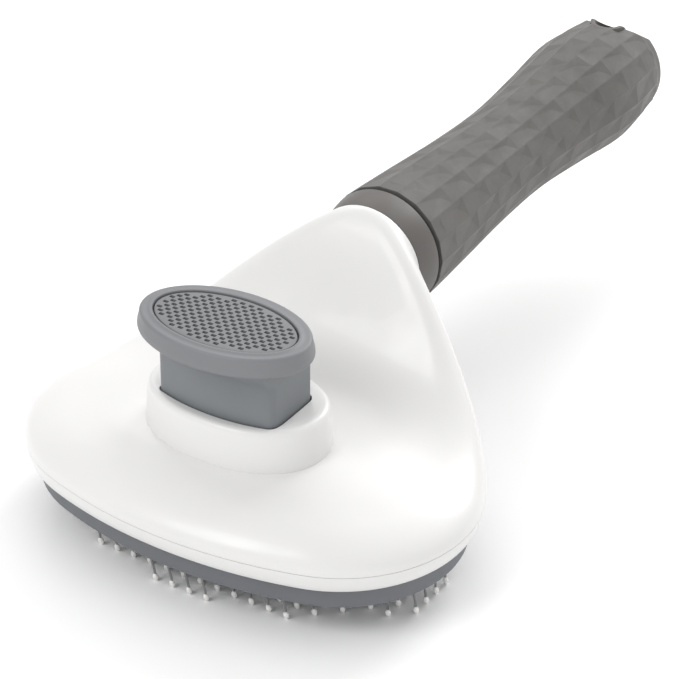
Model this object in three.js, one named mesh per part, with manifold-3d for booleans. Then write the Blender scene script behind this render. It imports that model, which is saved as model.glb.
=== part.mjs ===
// Self-cleaning slicker brush for pets, in millimetres, +Z up, handle along +Y, pins pointing down.
// The head pieces are drawn in the head's own frame: X across, Y = 0 through the centres of the two
// corner arcs, Z = 0 on the parting plane between the white shells. The last lines move the whole
// brush so that its origin is the bottom centre of its bounding box.
import * as THREE from 'three';
import { mergeVertices } from 'three/addons/utils/BufferGeometryUtils.js';
import Module from 'manifold-3d';

const wasm = await Module();
wasm.setup();

// ---- driving dimensions ----
const GAP = 0.3; // air left between pieces that touch on the real brush
const WALL = 2; // shell wall

// head outline, seen from above
const HEAD_HALF_WIDTH = 52.5;
const CORNER_RADIUS = 30;
const FRONT_RADIUS = 103.5;
const SIDE_START = THREE.MathUtils.degToRad(18); // where the corner arc hands over to the side curve
const SIDE_REACH = 26; // pull of the side curve at the corner arc
const NECK_REACH = 7.5; // pull of the side curve at the neck
const NECK_SPLAY = THREE.MathUtils.degToRad(-66); // direction in which the neck widens
const NECK_RADIUS = 13.35;
const NECK_Y = 46.1; // end of the neck, where the handle ring starts
const NECK_Z = 26; // handle axis above the parting plane
const FRONT_STEPS = 6;
const CORNER_STEPS = 7;
const SIDE_STEPS = 10;
const ROUND_STEPS = 4;
const SPINE_START = -4; // the front half of the shell fans out from here

// head profile, seen from the side
const HEAD_HEIGHT = 10.2; // crown of the top, above the parting plane
const EDGE_HEIGHT = 5.6; // top of the rounded edge
const HEAD_SIDE = 0.5; // upright wall under the rounded edge
const HEAD_ROUND = 10;
const CROWN_REACH = 0.6; // share of the way to the middle at which the top is fully up
const CROWN_SHARES = [0.3, 0.45, 0.62];
const RISE_START = 4; // the parting line climbs from here to the neck
const RISE_POWER = 2.05;
const NECK_BLEND_START = 5;
const RIM_DEPTH = 4.4;
const RIM_ROUND = 1.9;
const BELLY_START = 27; // the underside climbs from here to the neck
const CAVITY_END = 36;

// ejector plate, the grey dish around the pins
const PLATE_INSET = 2.9;
const PLATE_DEPTH = 10;
const PLATE_FLOOR = 1.8;
const PLATE_WALL = 1.3;
const PLATE_TOP = 1.3;
const PLATE_REAR_SIDE_Y = 18; // where the side of the plate turns in
const PLATE_REAR_Y = 28;
const PLATE_REAR_TURN = [5, 7]; // how sharply it turns in
const PLATE_REAR_FLAT = 20; // half width of the nearly straight back
const PLATE_REAR_STEPS = 8;
const PLATE_CLEARANCE = 0.45;

// pins and the carrier that holds them
const PIN_PROUD = 8.3;
const PIN_COLUMN_PITCH = 4.3;
const PIN_ROW_PITCH = 4;
const PIN_FIRST_ROW = -28.3;
const PIN_ROWS = 14;
const PIN_COLUMNS = 22;
const PIN_LEAN = 2;
const PIN_STRAIGHT = 0.3; // the wire stays upright this far above the plate's underside
const PIN_SIDES = 3;
const WIRE_RADIUS = 0.28;
const BALL_RADIUS = 0.65;
const BALL_LENGTH = 1.9;
const SLOT_WIDTH = 2.3;
const SLOT_LENGTH = 3.4;
const SLOT_AHEAD = 1.2; // middle of the slot behind the root of the pin
const PIN_FIELD_INSET = 6.2;
const PIN_CORNER_CUT = -40; // no pins in front of the line y = this + slope * |x|
const PIN_CORNER_SLOPE = 0.7;
const PIN_KEEP_OUT = 5.3; // no pins this near a leg or a carrier screw
const CARRIER_INSET = 4.6;
const CARRIER_TOP = -2.2;
const CARRIER_THICKNESS = 2.4;

// button on the head
const COLLAR_Y = -4.3;
const COLLAR_HALF_WIDTH = 21.2;
const COLLAR_HALF_DEPTH = 14.1;
const COLLAR_SQUARENESS = 0.88; // 1 is an ellipse, less is squarer
const COLLAR_TAPER = 0.6;
const COLLAR_EDGE = 0.6;
const COLLAR_WALL = 1.9;
const COLLAR_TOP = 19.6;
const BUTTON_Y = -5.3;
const CAP_Y = -8.5;
const STEM_HALF_WIDTH = 14.2;
const STEM_HALF_DEPTH = 7.9;
const STEM_BULGE = 1.5; // how far the front and back bow out
const STEM_CORNER = 1.8;
const STEM_BEND = 28; // above this the stem bends forward to the cap
const STEM_LEAN = 2.6;
const STEM_BEND_STEPS = 5;
const STEM_TOP = 33.6;
const STEM_WALL = 1.8;
const FLANGE_TOP = 16.7;
const FLANGE_BOTTOM = 14.4;
const CAP_HALF_WIDTH = 20.1;
const CAP_HALF_DEPTH = 12.9;
const CAP_HEIGHT = 4.6;
const CAP_LIP = 1.5;
const CAP_UNDERCUT = 1.6;
const CAP_SHOULDER = 0.8;
const CAP_PLUG = 2.5;
const PAD_HALF_WIDTH = 16.7;
const PAD_HALF_DEPTH = 9.5;
const PAD_THICKNESS = 1.1;
const LEG_X = 14.6;
const LEG_RADIUS = 3.2;
const LEG_BOTTOM = 2.3;

// spring under the button
const SPRING_RADIUS = 5;
const SPRING_WIRE = 0.55;
const SPRING_TURNS = 5.5;
const SPRING_SECTION_SIDES = 6;
const SPRING_STEPS_PER_TURN = 10;
const SPRING_POST_RADIUS = 3.1;
const SPRING_POST_HEIGHT = 4;

// screws
const SHANK_RADIUS = 1.3;
const HEAD_RADIUS = 2.5;
const SCREW_HEAD = 1.6;
const SCREW_SLOT = [3, 0.7, 0.8]; // length, width and depth
const SCREW_SEATING = 0.03; // air under a seated screw head
const SCREW_CLEARANCE = 0.12;
const BOSS_RADIUS = 3.5;
const BOSS_ROOF = 3; // solid plastic above the screw hole
const CARRIER_BOSSES = [[-32, -6, 7.8], [32, -6, 7.8], [-19, 16, 9.6], [19, 16, 9.6]]; // x, y, top
const CARRIER_SCREW_REACH = 6;
const PLATE_SCREW_SEAT = -8;
const PLATE_SCREW_TIP = 9.3;
const SHELL_SCREW_X = 7.5;
const SHELL_SCREW_Y = 37.5;
const SHELL_SCREW_SEAT = 9.5;
const SHELL_SCREW_TIP = 24.5;

// handle, in its own frame: Y along the handle from the end of the neck
const HANDLE_LENGTH = 119.2;
const RING_LENGTH = 7;
const RING_END_RADIUS = 14.2;
const GROOVE = 1.2;
const GROOVE_RADIUS = 12.3;
const CORE_RADIUS = 9.2;
const CORE_LENGTH = 102;
const TANG_HALF_WIDTH = 6.5;
const TANG_HALF_HEIGHT = 4.4;
const TANG_LENGTH = 28;
const TANG_ROOT = 1;
const TANG_SCREW_Y = 18;
const TANG_SCREW_SEAT = -6.4;
const TANG_SCREW_TIP = 4;
const GRIP_RADII = [14.35, 13.36, 12.22, 11.89, 13.26, 14.86, 13.4];
const GRIP_SIDES = 14;
const GRIP_ROWS = 12;
const GRIP_BAND = 3.2; // smooth band at the butt
const GRIP_BAND_STEP = 0.9;
const GRIP_END_CHAMFER = 1.2;
const GRIP_END_RADIUS = 10.4;
const SCOOP_ANGLE = 36; // degrees; the top of the butt slopes away around the hang hole
const SCOOP_Y = 116;
const SCOOP_Z = 10.6;
const EYELET_Y = 112.6;
const EYELET_RADIUS = 3.4;
const EYELET_WALL = 1;
const EYELET_SUNK = 0.3;
const EYELET_PROUD = 0.4; // above the scoop
const EYELET_EDGE = 0.3;

// ---- derived places ----
const CORNER_X = HEAD_HALF_WIDTH - CORNER_RADIUS;
const FRONT_CENTRE_Y = Math.sqrt((FRONT_RADIUS - CORNER_RADIUS) ** 2 - CORNER_X ** 2);
const FRONT_Y = FRONT_CENTRE_Y - FRONT_RADIUS;
const BUTT_Y = NECK_Y + HANDLE_LENGTH;
const CARRIER_BOTTOM = CARRIER_TOP - CARRIER_THICKNESS;
const PIN_TIP = -PLATE_DEPTH - PIN_PROUD;
const GRIP_START = RING_LENGTH + GROOVE;
const FAR = 60; // longer than any piece that a cutter goes through

// ---- colours and finishes ----
const WHITE = { color: 0xe9e8e6, roughness: 0.38, metalness: 0 };
const GREY = { color: 0x777a7f, roughness: 0.5, metalness: 0 };
const CAP_GREY = { color: 0x8f9093, roughness: 0.5, metalness: 0 };
const PAD_GREY = { color: 0x85868a, roughness: 0.8, metalness: 0 };
const TAUPE = { color: 0x797571, roughness: 0.6, metalness: 0 };
const RUBBER = { color: 0x767472, roughness: 0.8, metalness: 0 };
const CORE = { color: 0x3a3938, roughness: 0.7, metalness: 0 };
const STEEL = { color: 0xb9bbbe, roughness: 0.3, metalness: 1 };

// ---- helpers: shapes and solids ----
const smooth = (t) => THREE.MathUtils.smoothstep(t, 0, 1);
const mix = THREE.MathUtils.lerp;

// A closed geometry becomes a manifold solid once its shared vertices are merged.
function solid(geometry) {
  geometry.deleteAttribute('normal');
  geometry.deleteAttribute('uv');
  const merged = mergeVertices(geometry, 1e-4);
  const corners = merged.index.array;
  const kept = [];
  for (let i = 0; i < corners.length; i += 3) {
    const [a, b, c] = [corners[i], corners[i + 1], corners[i + 2]];
    if (a !== b && b !== c && c !== a) kept.push(a, b, c);
  }
  const vertProperties = new Float32Array(merged.attributes.position.array);
  return new wasm.Manifold(new wasm.Mesh({ numProp: 3, vertProperties, triVerts: new Uint32Array(kept) }));
}

function geometryOf(manifold) {
  const mesh = manifold.getMesh();
  const geometry = new THREE.BufferGeometry();
  geometry.setAttribute('position', new THREE.BufferAttribute(mesh.vertProperties, mesh.numProp));
  geometry.setIndex(new THREE.BufferAttribute(mesh.triVerts, 1));
  return geometry;
}

function fromTriangles(triangles) {
  const geometry = new THREE.BufferGeometry().setFromPoints(triangles);
  return solid(geometry);
}

function quad(triangles, a, b, c, d) {
  triangles.push(a, b, c, a, c, d);
}

// Rings of equal point counts, counter-clockwise seen from the last ring, closed at both ends.
function loft(rings) {
  const triangles = [];
  const count = rings[0].length;
  for (let r = 0; r + 1 < rings.length; r++) {
    for (let i = 0; i < count; i++) {
      const j = (i + 1) % count;
      quad(triangles, rings[r][i], rings[r][j], rings[r + 1][j], rings[r + 1][i]);
    }
  }
  const centre = (ring) => ring.reduce((sum, p) => sum.add(p), new THREE.Vector3()).divideScalar(count);
  const [first, last] = [rings[0], rings[rings.length - 1]];
  const [bottom, top] = [centre(first), centre(last)];
  for (let i = 0; i < count; i++) {
    const j = (i + 1) % count;
    triangles.push(bottom, first[j], first[i], top, last[i], last[j]);
  }
  return fromTriangles(triangles);
}

// A level outline, lifted to height z.
const lift = (outline, z) => outline.map(([x, y]) => new THREE.Vector3(x, y, z));

// An oval about (0, centreY); squareness 1 is an ellipse and a smaller value is squarer.
function oval(halfWidth, halfDepth, centreY, steps, squareness = 1) {
  const bent = (value) => Math.sign(value) * Math.abs(value) ** squareness;
  const points = [];
  for (let i = 0; i < steps; i++) {
    const angle = (i / steps) * 2 * Math.PI;
    points.push([halfWidth * bent(Math.cos(angle)), centreY + halfDepth * bent(Math.sin(angle))]);
  }
  return points;
}

function prism(outline, low, high) {
  const shape = new THREE.Shape(outline.map(([x, y]) => new THREE.Vector2(x, y)));
  const geometry = new THREE.ExtrudeGeometry(shape, { depth: high - low, bevelEnabled: false });
  return solid(geometry.translate(0, 0, low));
}

// An upright cylinder at (x, y), from low to high.
function post(radius, low, high, x = 0, y = 0, sides = 16) {
  const geometry = new THREE.CylinderGeometry(radius, radius, high - low, sides);
  return solid(geometry.rotateX(Math.PI / 2).translate(x, y, (low + high) / 2));
}

function block(width, depth, low, high, x, y) {
  return solid(new THREE.BoxGeometry(width, depth, high - low).translate(x, y, (low + high) / 2));
}

// A round solid about the Y axis, from profile points [radius, y].
function turned(profile, sides = 40) {
  const points = profile.map(([radius, y]) => new THREE.Vector2(radius, y));
  return solid(new THREE.LatheGeometry(points, sides));
}

// ---- head outline ----
// Points of the right half, from the middle of the front edge to the neck, moved inwards by inset.
function halfOutline(inset) {
  const points = [];
  const join = Math.atan2(-FRONT_CENTRE_Y, CORNER_X);
  for (let i = 0; i < FRONT_STEPS; i++) {
    const angle = mix(-Math.PI / 2, join, i / FRONT_STEPS);
    const radius = FRONT_RADIUS - inset;
    points.push([radius * Math.cos(angle), FRONT_CENTRE_Y + radius * Math.sin(angle)]);
  }
  for (let i = 0; i < CORNER_STEPS; i++) {
    const angle = mix(join, SIDE_START, i / CORNER_STEPS);
    const radius = CORNER_RADIUS - inset;
    points.push([CORNER_X + radius * Math.cos(angle), radius * Math.sin(angle)]);
  }
  const side = sideCurve();
  for (let i = 0; i <= SIDE_STEPS; i++) {
    const point = side.getPoint(i / SIDE_STEPS);
    const along = side.getTangent(i / SIDE_STEPS);
    points.push([point.x - along.y * inset, point.y + along.x * inset]);
  }
  return points;
}

// The side runs from the corner arc to the neck in one slightly bowed sweep.
function sideCurve() {
  const start = new THREE.Vector2(
    CORNER_X + CORNER_RADIUS * Math.cos(SIDE_START),
    CORNER_RADIUS * Math.sin(SIDE_START),
  );
  const along = new THREE.Vector2(-Math.sin(SIDE_START), Math.cos(SIDE_START));
  const end = new THREE.Vector2(NECK_RADIUS, NECK_Y);
  const splay = new THREE.Vector2(Math.cos(NECK_SPLAY), Math.sin(NECK_SPLAY));
  const first = start.clone().addScaledVector(along, SIDE_REACH);
  const second = end.clone().addScaledVector(splay, NECK_REACH);
  return new THREE.CubicBezierCurve(start, first, second, end);
}

// The part of the half outline in front of endY, with its last point on endY.
function clipped(points, endY) {
  const kept = points.filter(([, y]) => y < endY - 1e-6);
  if (kept.length === points.length) return points;
  const [a, b] = [kept[kept.length - 1], points[kept.length]];
  const t = (endY - a[1]) / (b[1] - a[1]);
  return [...kept, [mix(a[0], b[0], t), endY]];
}

function mirrored(half) {
  const left = half.slice(1).reverse().map(([x, y]) => [-x, y]);
  return [...half, ...left.filter(([x]) => x < -1e-6)];
}

// ---- head surfaces ----
function partingHeight(y) {
  const along = THREE.MathUtils.clamp((y - RISE_START) / (NECK_Y - RISE_START), 0, 1);
  return NECK_Z * smooth(along ** RISE_POWER);
}

const neckBlend = (y) => smooth((y - NECK_BLEND_START) / (NECK_Y - NECK_BLEND_START));

// A surface over the outline: base is the parting height, side the height at the edge above it, rise
// the height inside the rounded edge, round the width of that edge, crown the extra height inside.
function topShape(inset) {
  return (y) => ({
    base: partingHeight(y),
    side: mix(HEAD_SIDE, 0, neckBlend(y)),
    rise: mix(EDGE_HEIGHT, NECK_RADIUS, neckBlend(y)) - inset,
    round: mix(HEAD_ROUND, NECK_RADIUS, neckBlend(y)) - inset,
    crown: mix(HEAD_HEIGHT - EDGE_HEIGHT, 0, neckBlend(y)),
  });
}

function bellyShape(y) {
  const low = mix(-RIM_DEPTH, NECK_Z - NECK_RADIUS, smooth((y - BELLY_START) / (NECK_Y - BELLY_START)));
  const base = partingHeight(y);
  const blend = neckBlend(y);
  return { base, side: -GAP, rise: low - base, round: mix(RIM_ROUND, NECK_RADIUS, blend), crown: 0 };
}

const levelShape = (height) => () => ({ base: 0, side: height, rise: height, round: HEAD_ROUND, crown: 0 });

function partingShape(drop) {
  return (y) => ({ base: partingHeight(y), side: -drop, rise: -drop, round: HEAD_ROUND, crown: 0 });
}

// Points from the outline's edge to the spine on the plane X = 0.
function rib([edgeX, edgeY], shape) {
  const spineY = Math.max(edgeY, SPINE_START);
  const length = Math.hypot(edgeX, spineY - edgeY);
  const { base, side, rise, round, crown } = shape(Math.max(edgeY, SPINE_START));
  const stations = [];
  for (let k = 0; k <= ROUND_STEPS; k++) {
    const angle = (k / ROUND_STEPS) * (Math.PI / 2);
    const share = Math.min((round * (1 - Math.cos(angle))) / length, 1);
    stations.push([share, side + (rise - side) * Math.sin(angle)]);
  }
  const flatStart = stations[ROUND_STEPS][0];
  for (const share of CROWN_SHARES) stations.push([mix(flatStart, 1, share), rise]);
  stations.push([1, rise]);
  return stations.map(([share, height]) => {
    const z = base + height + crown * smooth(share / CROWN_REACH);
    return new THREE.Vector3(mix(edgeX, 0, share), mix(edgeY, spineY, share), z);
  });
}

// The closed solid between two surfaces over the outline.
function between(half, lowerShape, upperShape) {
  const triangles = [];
  const lower = half.map((edge) => rib(edge, lowerShape));
  const upper = half.map((edge) => rib(edge, upperShape));
  const last = half.length - 1;
  const steps = upper[0].length - 1;
  for (let i = 0; i < last; i++) {
    for (let k = 0; k < steps; k++) {
      quad(triangles, upper[i][k], upper[i + 1][k], upper[i + 1][k + 1], upper[i][k + 1]);
      quad(triangles, lower[i][k + 1], lower[i + 1][k + 1], lower[i + 1][k], lower[i][k]);
    }
    quad(triangles, lower[i][0], lower[i + 1][0], upper[i + 1][0], upper[i][0]);
  }
  for (let k = 0; k < steps; k++) {
    quad(triangles, lower[last][k], lower[last][k + 1], upper[last][k + 1], upper[last][k]);
  }
  const right = triangles.map((p) => p.clone());
  for (let i = 0; i < triangles.length; i += 3) {
    for (const corner of [2, 1, 0]) {
      const p = triangles[i + corner];
      right.push(new THREE.Vector3(-p.x, p.y, p.z));
    }
  }
  return fromTriangles(right);
}

// ---- plate outlines ----
// The head outline moved inwards, closed behind by a curve across the back of the pin field.
function plateOutline(inset) {
  const front = clipped(halfOutline(inset), PLATE_REAR_SIDE_Y);
  const [cornerX, cornerY] = front[front.length - 1];
  const rear = new THREE.CubicBezierCurve(
    new THREE.Vector2(cornerX, cornerY),
    new THREE.Vector2(cornerX - PLATE_REAR_TURN[0], cornerY + PLATE_REAR_TURN[1]),
    new THREE.Vector2(PLATE_REAR_FLAT, PLATE_REAR_Y - inset + PLATE_INSET),
    new THREE.Vector2(0, PLATE_REAR_Y - inset + PLATE_INSET),
  );
  const back = rear.getPoints(PLATE_REAR_STEPS).slice(1).map((p) => [p.x, p.y]);
  return mirrored([...front, ...back]);
}

function isInside([x, y], outline) {
  let inside = false;
  for (let i = 0, j = outline.length - 1; i < outline.length; j = i++) {
    const [[xi, yi], [xj, yj]] = [outline[i], outline[j]];
    const crosses = yi > y !== yj > y && x < ((xj - xi) * (y - yi)) / (yj - yi) + xi;
    if (crosses) inside = !inside;
  }
  return inside;
}

// Pin roots on a grid inside the pin field, clear of the pillars and the screws.
function pinRoots() {
  const field = plateOutline(PIN_FIELD_INSET);
  const keepOut = [...CARRIER_BOSSES, [-LEG_X, BUTTON_Y], [LEG_X, BUTTON_Y]];
  const roots = [];
  for (let row = 0; row < PIN_ROWS; row++) {
    for (let column = 0; column < PIN_COLUMNS; column++) {
      const x = (column - (PIN_COLUMNS - 1) / 2) * PIN_COLUMN_PITCH;
      const y = PIN_FIRST_ROW + row * PIN_ROW_PITCH;
      const middle = [x, y + SLOT_AHEAD];
      const clear = keepOut.every(([px, py]) => Math.hypot(x - px, middle[1] - py) > PIN_KEEP_OUT);
      const behindCut = middle[1] > PIN_CORNER_CUT + PIN_CORNER_SLOPE * Math.abs(x);
      if (clear && behindCut && isInside(middle, field)) roots.push([x, y]);
    }
  }
  return roots;
}

// ---- white shells ----
function collarOutline(shrink) {
  return oval(COLLAR_HALF_WIDTH - shrink, COLLAR_HALF_DEPTH - shrink, COLLAR_Y, 40, COLLAR_SQUARENESS);
}

const collarRing = (shrink, z) => lift(collarOutline(shrink), z);

function upperShell() {
  const outer = between(halfOutline(0), partingShape(0), topShape(0));
  const inner = clipped(halfOutline(WALL), CAVITY_END);
  const cavity = between(inner, levelShape(-RIM_DEPTH), topShape(WALL));
  const collar = loft([
    collarRing(0, HEAD_HEIGHT - 1),
    collarRing(0, HEAD_HEIGHT),
    collarRing(COLLAR_TAPER, COLLAR_TOP - 1),
    collarRing(COLLAR_TAPER + COLLAR_EDGE, COLLAR_TOP),
  ]);
  const collarCavity = prism(collarOutline(COLLAR_WALL), 0, FLANGE_TOP + GAP);
  const opening = prism(stemOutline(GAP), 0, COLLAR_TOP + 1);
  let shell = outer.subtract(cavity).add(collar).subtract(collarCavity).subtract(opening);
  for (const [x, y, top] of CARRIER_BOSSES) {
    shell = shell.add(post(BOSS_RADIUS, CARRIER_TOP + GAP, top, x, y));
    shell = shell.subtract(post(SHANK_RADIUS + SCREW_CLEARANCE, CARRIER_TOP, top - BOSS_ROOF, x, y));
  }
  for (const x of [-SHELL_SCREW_X, SHELL_SCREW_X]) {
    shell = shell.subtract(shellScrewHole(x));
  }
  return shell.add(tang(0, TANG_HALF_HEIGHT)).subtract(tangScrewHole());
}

function lowerShell() {
  const outer = between(halfOutline(0), bellyShape, partingShape(GAP));
  const pocket = prism(plateOutline(PLATE_INSET - PLATE_CLEARANCE), -FAR, FAR);
  let shell = outer.subtract(pocket);
  for (const x of [-SHELL_SCREW_X, SHELL_SCREW_X]) {
    shell = shell.subtract(shellScrewHole(x));
    shell = shell.subtract(post(HEAD_RADIUS + GAP, -FAR, SHELL_SCREW_SEAT, x, SHELL_SCREW_Y));
  }
  return shell.add(tang(-TANG_HALF_HEIGHT, -2 * GAP)).subtract(tangScrewHole());
}

function shellScrewHole(x) {
  return post(SHANK_RADIUS + SCREW_CLEARANCE, 0, SHELL_SCREW_TIP + GAP, x, SHELL_SCREW_Y);
}

// Half of the tongue that carries the handle, between two heights about the handle axis.
function tang(low, high) {
  const middle = NECK_Y + (TANG_LENGTH - TANG_ROOT) / 2;
  return block(2 * TANG_HALF_WIDTH, TANG_LENGTH + TANG_ROOT, NECK_Z + low, NECK_Z + high, 0, middle);
}

function tangScrewHole() {
  const y = NECK_Y + TANG_SCREW_Y;
  return post(SHANK_RADIUS + SCREW_CLEARANCE, NECK_Z - FAR, NECK_Z + FAR, 0, y);
}

// ---- ejector plate and pins ----
function ejectorPlate() {
  const outline = plateOutline(PLATE_INSET);
  const slots = pinRoots().map(([x, y]) => {
    return block(SLOT_WIDTH, SLOT_LENGTH, -FAR, 0, x, y + SLOT_AHEAD);
  });
  const floor = prism(outline, -PLATE_DEPTH, -PLATE_DEPTH + PLATE_FLOOR).subtract(wasm.Manifold.compose(slots));
  const inner = plateOutline(PLATE_INSET + PLATE_WALL);
  const skirt = prism(outline, -PLATE_DEPTH, PLATE_TOP).subtract(prism(inner, -FAR, FAR));
  let plate = floor.add(skirt);
  for (const x of [-LEG_X, LEG_X]) {
    plate = plate.add(post(LEG_RADIUS, -PLATE_DEPTH, LEG_BOTTOM - GAP, x, BUTTON_Y));
    plate = plate.subtract(post(SHANK_RADIUS + SCREW_CLEARANCE, -FAR, FAR, x, BUTTON_Y));
    plate = plate.subtract(post(HEAD_RADIUS + GAP / 2, -FAR, PLATE_SCREW_SEAT, x, BUTTON_Y));
  }
  return plate;
}

function pinCarrier() {
  const outline = plateOutline(CARRIER_INSET);
  let carrier = prism(outline, CARRIER_BOTTOM, CARRIER_TOP);
  for (const x of [-LEG_X, LEG_X]) {
    carrier = carrier.subtract(post(LEG_RADIUS + 2 * GAP, -FAR, FAR, x, BUTTON_Y));
  }
  for (const [x, y] of CARRIER_BOSSES) {
    carrier = carrier.subtract(post(SHANK_RADIUS + SCREW_CLEARANCE, -FAR, FAR, x, y));
  }
  const [postLow, postHigh] = [CARRIER_TOP - 1, CARRIER_TOP + SPRING_POST_HEIGHT];
  const springPost = post(SPRING_POST_RADIUS, postLow, postHigh, 0, BUTTON_Y);
  carrier = carrier.add(springPost);
  const pins = new THREE.BufferGeometry().setFromPoints(pinRoots().flatMap(([x, y]) => pinTriangles(x, y)));
  return carrier.add(solid(pins));
}

// One pin: straight through the carrier and the plate, then leaning to its ball tip.
function pinTriangles(x, y) {
  const stations = [
    [0, CARRIER_BOTTOM + 1, WIRE_RADIUS],
    [0, -PLATE_DEPTH + PIN_STRAIGHT, WIRE_RADIUS],
    [PIN_LEAN * 0.8, PIN_TIP + BALL_LENGTH, WIRE_RADIUS],
    [PIN_LEAN, PIN_TIP + BALL_LENGTH / 3, BALL_RADIUS],
    [PIN_LEAN, PIN_TIP, BALL_RADIUS / 2],
  ];
  const rings = stations.map(([lean, z, radius]) => {
    const ring = [];
    for (let i = 0; i < PIN_SIDES; i++) {
      const angle = (i / PIN_SIDES) * 2 * Math.PI;
      ring.push(new THREE.Vector3(x + radius * Math.cos(angle), y + lean + radius * Math.sin(angle), z));
    }
    return ring;
  });
  const triangles = [];
  for (let r = 0; r + 1 < rings.length; r++) {
    for (let i = 0; i < PIN_SIDES; i++) {
      const j = (i + 1) % PIN_SIDES;
      quad(triangles, rings[r + 1][i], rings[r + 1][j], rings[r][j], rings[r][i]);
    }
  }
  const last = rings[rings.length - 1];
  triangles.push(...rings[0], last[2], last[1], last[0]);
  return triangles;
}

// ---- button ----
// Flat ends, bowed front and back, rounded corners; grow moves the outline outwards.
function stemOutline(grow, middleY = BUTTON_Y) {
  const width = STEM_HALF_WIDTH + grow;
  const depth = STEM_HALF_DEPTH + grow;
  const points = [];
  for (const side of [1, -1]) {
    for (let i = 0; i <= 8; i++) {
      const across = 1 - i / 4;
      const x = side * across * (width - STEM_CORNER * Math.abs(across) ** 12);
      points.push([x, middleY + side * (depth + STEM_BULGE * (1 - across ** 2))]);
    }
    points.push([-side * width, middleY + side * (depth - STEM_CORNER)]);
    points.push([-side * width, middleY - side * (depth - STEM_CORNER)]);
  }
  return points;
}

// The stem is upright where it slides in the collar and bends forward above that.
function stemBody(grow, low, high) {
  const heights = [low];
  for (let i = 0; i <= STEM_BEND_STEPS; i++) {
    const z = mix(STEM_BEND, STEM_TOP, i / STEM_BEND_STEPS);
    if (z > low && z < high) heights.push(z);
  }
  heights.push(high);
  const rings = heights.map((z) => {
    const lean = STEM_LEAN * smooth((z - STEM_BEND) / (STEM_TOP - STEM_BEND));
    return lift(stemOutline(grow, BUTTON_Y - lean), z);
  });
  return loft(rings);
}

function buttonStem() {
  let stem = stemBody(0, FLANGE_BOTTOM, STEM_TOP);
  stem = stem.subtract(stemBody(-STEM_WALL, FLANGE_TOP, STEM_TOP + 1));
  stem = stem.add(prism(collarOutline(COLLAR_WALL + 2 * GAP), FLANGE_BOTTOM, FLANGE_TOP));
  for (const x of [-LEG_X, LEG_X]) {
    stem = stem.add(post(LEG_RADIUS, LEG_BOTTOM, FLANGE_TOP, x, BUTTON_Y));
    stem = stem.subtract(post(SHANK_RADIUS + SCREW_CLEARANCE, 0, PLATE_SCREW_TIP + GAP, x, BUTTON_Y));
  }
  return stem;
}

const padOutline = (shrink) => oval(PAD_HALF_WIDTH - shrink, PAD_HALF_DEPTH - shrink, CAP_Y, 40);

function buttonCap() {
  const low = STEM_TOP + GAP;
  const high = low + CAP_HEIGHT;
  const ring = (shrink, z) => lift(oval(CAP_HALF_WIDTH - shrink, CAP_HALF_DEPTH - shrink, CAP_Y, 40), z);
  const body = loft([
    ring(CAP_UNDERCUT, low),
    ring(GAP, low + CAP_LIP),
    ring(0, high - 1),
    ring(CAP_SHOULDER, high),
  ]);
  const plug = stemBody(-STEM_WALL - GAP, STEM_TOP - CAP_PLUG, low + 1);
  const recess = prism(padOutline(0), high - PAD_THICKNESS - GAP, high + 1);
  return body.add(plug).subtract(recess);
}

function thumbPad() {
  const high = STEM_TOP + GAP + CAP_HEIGHT - GAP;
  return prism(padOutline(GAP), high - PAD_THICKNESS + GAP, high);
}

class SpringCurve extends THREE.Curve {
  getPoint(t) {
    const angle = t * SPRING_TURNS * 2 * Math.PI;
    const [low, high] = [CARRIER_TOP + GAP + SPRING_WIRE, FLANGE_BOTTOM - GAP - SPRING_WIRE];
    const radius = SPRING_RADIUS - SPRING_WIRE;
    return new THREE.Vector3(radius * Math.cos(angle), BUTTON_Y + radius * Math.sin(angle), mix(low, high, t));
  }
}

function returnSpring() {
  const section = new THREE.Shape();
  for (let i = 0; i < SPRING_SECTION_SIDES; i++) {
    const angle = (i / SPRING_SECTION_SIDES) * 2 * Math.PI;
    const [x, y] = [SPRING_WIRE * Math.cos(angle), SPRING_WIRE * Math.sin(angle)];
    if (i === 0) section.moveTo(x, y);
    else section.lineTo(x, y);
  }
  const steps = Math.round(SPRING_TURNS * SPRING_STEPS_PER_TURN);
  const options = { steps, extrudePath: new SpringCurve(), bevelEnabled: false };
  return solid(new THREE.ExtrudeGeometry(section, options));
}

// ---- screws ----
// A pan-head screw pointing up: head below seat, shank from seat to tip, a cross slot in the head.
function screw(x, y, seat, tip) {
  const head = post(HEAD_RADIUS, seat - SCREW_HEAD, seat, x, y, 12);
  const shank = post(SHANK_RADIUS, seat - SCREW_HEAD / 2, tip, x, y, 8);
  const [length, width, depth] = SCREW_SLOT;
  const [low, high] = [seat - SCREW_HEAD - 1, seat - SCREW_HEAD + depth];
  const slot = block(length, width, low, high, x, y);
  const crossSlot = block(width, length, low, high, x, y);
  return head.add(shank).subtract(slot).subtract(crossSlot);
}

// ---- handle ----
function handleCore() {
  const core = turned([
    [0, GAP], [CORE_RADIUS, GAP], [CORE_RADIUS, RING_LENGTH + GAP], [GROOVE_RADIUS, RING_LENGTH + GAP],
    [GROOVE_RADIUS, GRIP_START - GAP], [CORE_RADIUS, GRIP_START - GAP], [CORE_RADIUS, CORE_LENGTH - 2],
    [CORE_RADIUS - 2, CORE_LENGTH], [0, CORE_LENGTH],
  ], 29);
  const socketHeight = TANG_HALF_HEIGHT + GAP;
  const socket = block(2 * (TANG_HALF_WIDTH + GAP), 2 * (TANG_LENGTH + GAP), -socketHeight, socketHeight, 0, 0);
  const hole = post(SHANK_RADIUS + SCREW_CLEARANCE, TANG_SCREW_SEAT, TANG_SCREW_TIP + GAP, 0, TANG_SCREW_Y);
  const counterbore = post(HEAD_RADIUS + GAP, -2 * CORE_RADIUS, TANG_SCREW_SEAT, 0, TANG_SCREW_Y);
  return core.subtract(socket).subtract(hole).subtract(counterbore);
}

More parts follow.
